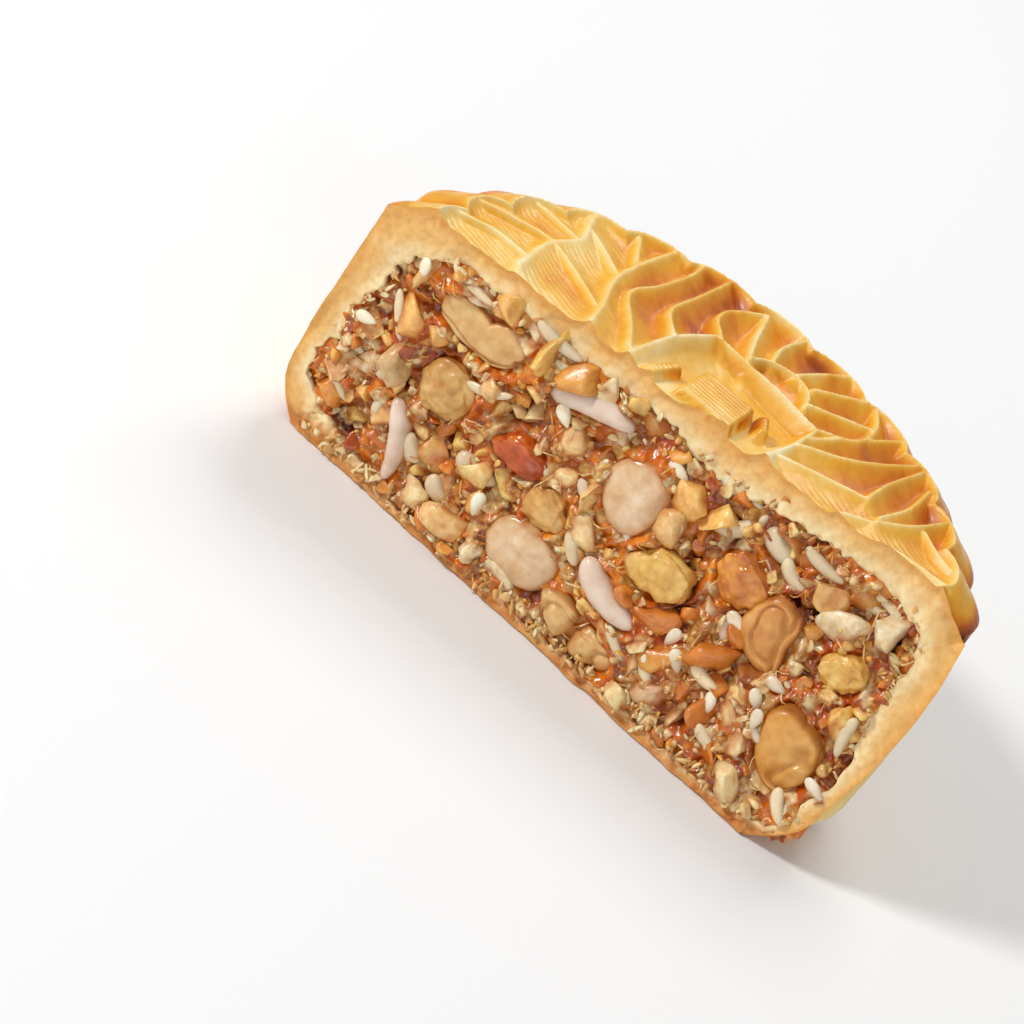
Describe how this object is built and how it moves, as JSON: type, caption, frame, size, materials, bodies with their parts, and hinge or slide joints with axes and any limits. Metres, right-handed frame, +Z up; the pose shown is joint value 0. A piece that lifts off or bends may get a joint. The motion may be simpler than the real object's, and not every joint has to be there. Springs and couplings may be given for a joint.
{
  "type": "mooncake",
  "caption": "Half of a round baked mooncake with a fluted, moulded golden crust, broken across to show a sticky filling of mixed nuts, seeds and candied fruit.",
  "frame": {"origin": "on the base plane, under the middle of the half's bounding box", "axes": "+X along the broken face, +Y into the half away from the broken face, +Z up through the moulded top"},
  "size_m": [0.084, 0.0498, 0.0352],
  "materials": {
    "crust": "baked golden brown with an egg-wash sheen",
    "filling": "sticky brown paste",
    "walnut": "cut walnut meat",
    "nut": "chopped nut",
    "seed": "peeled melon seed, satin",
    "kernel": "split apricot kernel, satin",
    "candied": "candied fruit, glossy"
  },
  "bodies": {
    "root": {"crust": "crust", "filling": "filling", "walnut_slice": "walnut", "round_nut": "nut", "melon_seed_upper": "seed", "apricot_kernel_upper": "kernel", "apricot_kernel_lower": "kernel", "melon_seed_middle": "seed", "nut_chunk": "nut", "walnut_wedge": "walnut", "walnut_curl": "walnut", "candied_peel": "candied", "candied_melon": "candied", "walnut_lump": "walnut", "melon_seed_left": "seed", "kernel_block": "nut", "pale_nut": "nut"}
  },
  "joints": []
}
